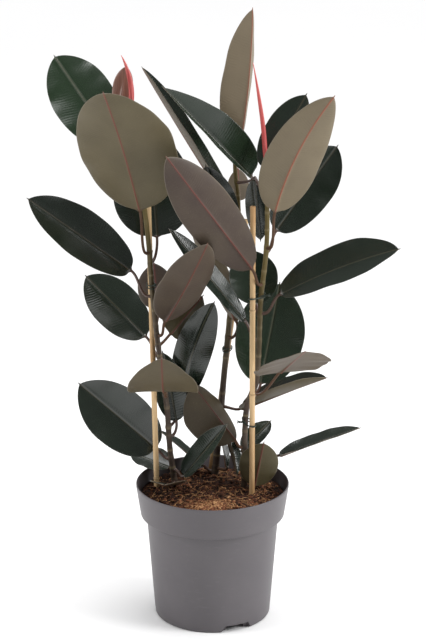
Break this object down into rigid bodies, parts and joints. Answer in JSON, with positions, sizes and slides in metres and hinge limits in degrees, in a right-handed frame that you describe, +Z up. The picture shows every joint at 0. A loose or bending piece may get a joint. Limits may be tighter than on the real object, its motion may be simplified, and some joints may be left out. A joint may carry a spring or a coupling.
{
  "type": "potted rubber plant",
  "caption": "Bushy dark-leaved rubber plant, its stems tied to bamboo canes, growing in a round grey plastic nursery pot with a collar.",
  "frame": {"origin": "centre of the pot's underside, where it stands on a surface", "axes": "+Z up along the pot's axis, -Y towards the front of the plant, +X to its right as seen from the front"},
  "size_m": [0.5572, 0.26, 0.9531],
  "materials": {
    "pot": "satin moulded polypropylene, warm mid grey",
    "soil": "moist peat and coir, rough, with fibres and crumbs",
    "bamboo": "dry split-free bamboo, satin, with node rings",
    "bark": "smooth young bark, olive above and grey-brown below, with pale node rings",
    "leaf": "near-black green glossy upper face, matt taupe underside, red-brown midrib",
    "young_leaf": "tender brown-pink new leaf, satin",
    "sheath": "coral-red leaf sheath, satin",
    "wire": "dark green plastic-coated tie wire"
  },
  "bodies": {
    "root": {"pot": "pot", "cane_left": "bamboo", "cane_middle": "bamboo", "cane_right": "bamboo", "stem_left": "bark", "stem_middle": "bark", "stem_right": "bark", "soil": "soil", "leaf_left_01": "leaf", "leaf_left_02": "leaf", "leaf_left_03": "leaf", "leaf_left_04": "leaf", "leaf_left_05": "leaf", "leaf_left_06": "leaf", "leaf_left_07": "leaf", "leaf_left_08": "leaf", "leaf_left_09": "leaf", "leaf_left_10": "leaf", "leaf_left_11": "leaf", "leaf_left_12": "leaf", "leaf_left_13": "leaf", "leaf_left_14": "leaf", "leaf_left_15": "young_leaf", "leaf_left_16": "leaf", "leaf_middle_01": "leaf", "leaf_middle_02": "leaf", "leaf_middle_03": "leaf", "leaf_middle_04": "leaf", "leaf_middle_05": "leaf", "leaf_middle_06": "leaf", "leaf_middle_07": "leaf", "leaf_middle_08": "leaf", "leaf_middle_09": "leaf", "leaf_middle_10": "leaf", "leaf_right_01": "leaf", "leaf_right_02": "leaf", "leaf_right_03": "leaf", "leaf_right_04": "leaf", "leaf_right_05": "leaf", "leaf_right_06": "leaf", "leaf_right_07": "leaf", "leaf_right_08": "leaf", "leaf_right_09": "leaf", "leaf_right_10": "leaf", "leaf_right_11": "leaf", "leaf_right_12": "leaf", "leaf_right_13": "leaf", "leaf_right_14": "leaf", "tie_left_1": "wire", "tie_middle_1": "wire", "tie_middle_2": "wire", "tie_right_1": "wire", "tie_right_2": "wire", "sheath_left": "sheath", "sheath_right": "sheath"}
  },
  "joints": []
}
